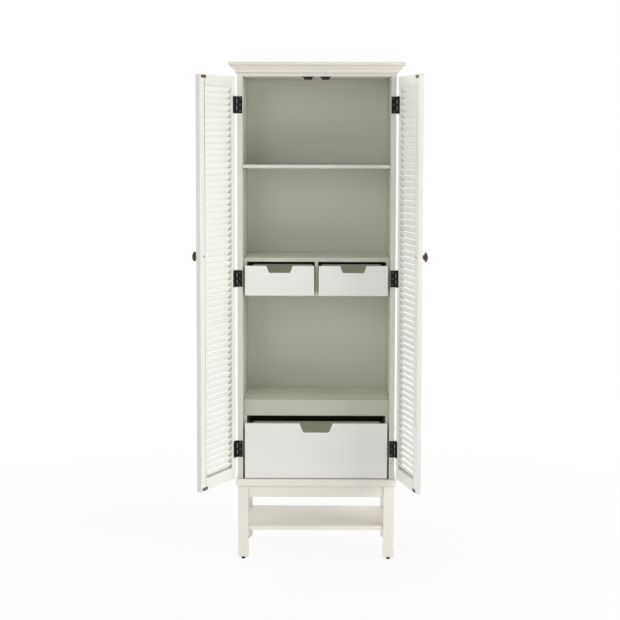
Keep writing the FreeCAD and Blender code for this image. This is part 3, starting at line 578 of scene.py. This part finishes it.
def make_strike_plates(door):
    """Round-ended plates with a slotted screw, one at each end of a door's free stile."""
    node = f"{door}_strike_plates"
    low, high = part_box(node)
    middle = (low + high) / 2
    along = ALONG_DOOR[door]
    axes = Matrix((along, Z_AXIS, -OUTWARDS[door])).transposed().to_4x4()
    outline = rounded(PLATE.x, PLATE.z, PLATE.z / 2 - 0.01 * MM)
    back = -PLATE.y / 2
    face = back + PLATE.y * PLATE_UNDER_SCREW

    def flat(u, v, w):
        return u, v, w

    for name, level in (("lower", low.z + PLATE.z / 2), ("upper", high.z - PLATE.z / 2)):
        mesh = bmesh.new()
        slab(mesh, outline, flat, back, face)
        steel_start = len(mesh.faces)
        add_screw(mesh, flat, 0, 0, face, PLATE.y / 2 - face)
        paint_faces(mesh, steel_start, 1)
        matrix = Matrix.Translation((middle.x, middle.y, level)) @ axes
        finish_piece(f"{door}_strike_{name}", mesh,
                     [plain_finish("strike_plate"), plain_finish("screw_steel")],
                     door, node, bevel=0.2 * MM, matrix=matrix)


make_catches()
for hung in ALONG_DOOR:
    make_strike_plates(hung)


# ---------------------------------------------------------------- floor, light and camera

# Share of the floor's own white in the picture; the rest is the light that falls on it.
FLOOR_WHITE = 0.88
# Light of its own that the floor gives to the object.
FLOOR_BOUNCE = 0.05
FLOOR_HALF = 40.0
# Light that the white studio sends in from all round, and from one end of each axis.
AMBIENT = 0.04
STUDIO = {("Y", 1): 1.32, ("X", -1): 1.50, ("Z", 1): 0.35}
# Soft lights: degrees to the right of the front and up, distance, width, height, power
# and colour.
LIGHTS = {
    "key": (52, 12, 5.0, 3.2, 2.4, 140, (1.0, 0.99, 0.97)),
    "front": (-20, 15, 6.0, 2.0, 2.0, 48, (1.0, 1.0, 0.99)),
}
AIM = Vector((0, 0, 1.0))
# Where the camera stands, and its pitch, yaw and roll in degrees.
CAMERA_PLACE = (0.0384, -6.6742, 1.6356)
CAMERA_TURN = (84.28, 0.556, 0.124)
CAMERA_LENS = 97.66


def make_floor():
    """A pale floor that turns into plain white a few metres out."""
    mesh = bpy.data.meshes.new("floor")
    corners = [(x * FLOOR_HALF, y * FLOOR_HALF, 0) for x, y in ((-1, -1), (1, -1), (1, 1), (-1, 1))]
    mesh.from_pydata(corners, [], [(0, 1, 2, 3)])
    floor = bpy.data.objects.new("floor", mesh)
    bpy.context.scene.collection.objects.link(floor)
    s = new_shader("pale_floor")
    place = s.add("ShaderNodeTexCoord").outputs["Object"]
    mottle = s.noise(place, (6, 6, 6), detail=4)
    tone = s.blend(mottle, (0.88, 0.88, 0.87, 1), (0.93, 0.93, 0.925, 1))
    matt = s.add("ShaderNodeBsdfDiffuse", {"Color": tone}).outputs[0]
    white = s.add("ShaderNodeEmission", {"Color": (1, 1, 1, 1), "Strength": 1.0}).outputs[0]
    bounce = s.add("ShaderNodeEmission", {
        "Color": (1, 0.99, 0.97, 1), "Strength": FLOOR_BOUNCE}).outputs[0]
    lit = s.add("ShaderNodeAddShader", {0: matt, 1: bounce}).outputs[0]
    reach = s.vectors("LENGTH", place)["Value"]
    own = s.spread(reach, 0.6, 2.6, FLOOR_WHITE, 1.0)
    pictured = s.add("ShaderNodeMixShader", {0: own, 1: matt, 2: white}).outputs[0]
    seen = s.add("ShaderNodeLightPath").outputs["Is Camera Ray"]
    surface = s.add("ShaderNodeMixShader", {0: seen, 1: lit, 2: pictured}).outputs[0]
    s.add("ShaderNodeOutputMaterial", {"Surface": surface})
    mesh.materials.append(s.owner)


def make_world():
    """White to the camera, and a soft light on the object that is uneven round about."""
    world = bpy.data.worlds.new("studio")
    bpy.context.scene.world = world
    s = Shader(world)
    direction = s.add("ShaderNodeTexCoord").outputs["Generated"]
    along = s.add("ShaderNodeSeparateXYZ", {"Vector": direction}).outputs
    strength = AMBIENT
    for (axis, sign), power in STUDIO.items():
        share = s.spread(s.multiply(along[axis], sign), 0.3, 0.9, 0.0, power)
        strength = s.maths("ADD", share, strength)
    light = s.add("ShaderNodeBackground", {
        "Color": (1.0, 1.0, 0.99, 1), "Strength": strength}).outputs[0]
    white = s.add("ShaderNodeBackground", {"Color": (1, 1, 1, 1), "Strength": 1.0}).outputs[0]
    seen = s.add("ShaderNodeLightPath").outputs["Is Camera Ray"]
    mixed = s.add("ShaderNodeMixShader", {0: seen, 1: light, 2: white}).outputs[0]
    s.add("ShaderNodeOutputWorld", {"Surface": mixed})


def add_soft_light(name, turn_deg, rise_deg, distance, width, height, power, color):
    """Area light at an angle round and above the front, aimed at the cabinet."""
    light = bpy.data.lights.new(name, "AREA")
    light.shape = "RECTANGLE"
    light.size = width
    light.size_y = height
    light.energy = power
    light.color = color
    obj = bpy.data.objects.new(name, light)
    bpy.context.scene.collection.objects.link(obj)
    turn, rise = math.radians(turn_deg), math.radians(rise_deg)
    level = Vector((math.sin(turn), -math.cos(turn), 0))
    towards = level * math.cos(rise) + Z_AXIS * math.sin(rise)
    obj.location = AIM + towards * distance
    obj.rotation_euler = (-towards).to_track_quat("-Z", "Y").to_euler()
    obj.visible_camera = False


def make_camera():
    """Long lens, far in front of the cabinet and a little under its top, looking down."""
    camera = bpy.data.cameras.new("camera")
    camera.lens = CAMERA_LENS
    camera.sensor_width = 36.0
    obj = bpy.data.objects.new("camera", camera)
    bpy.context.scene.collection.objects.link(obj)
    pitch, yaw, roll = (math.radians(angle) for angle in CAMERA_TURN)
    aim = Matrix.Rotation(yaw, 4, "Z") @ Matrix.Rotation(pitch, 4, "X")
    turn = aim @ Matrix.Rotation(roll, 4, "Z")
    obj.matrix_world = Matrix.Translation(CAMERA_PLACE) @ turn
    bpy.context.scene.camera = obj


make_floor()
make_world()
for light_name, settings in LIGHTS.items():
    add_soft_light(light_name, *settings)
make_camera()
bpy.context.scene.view_settings.view_transform = "Standard"
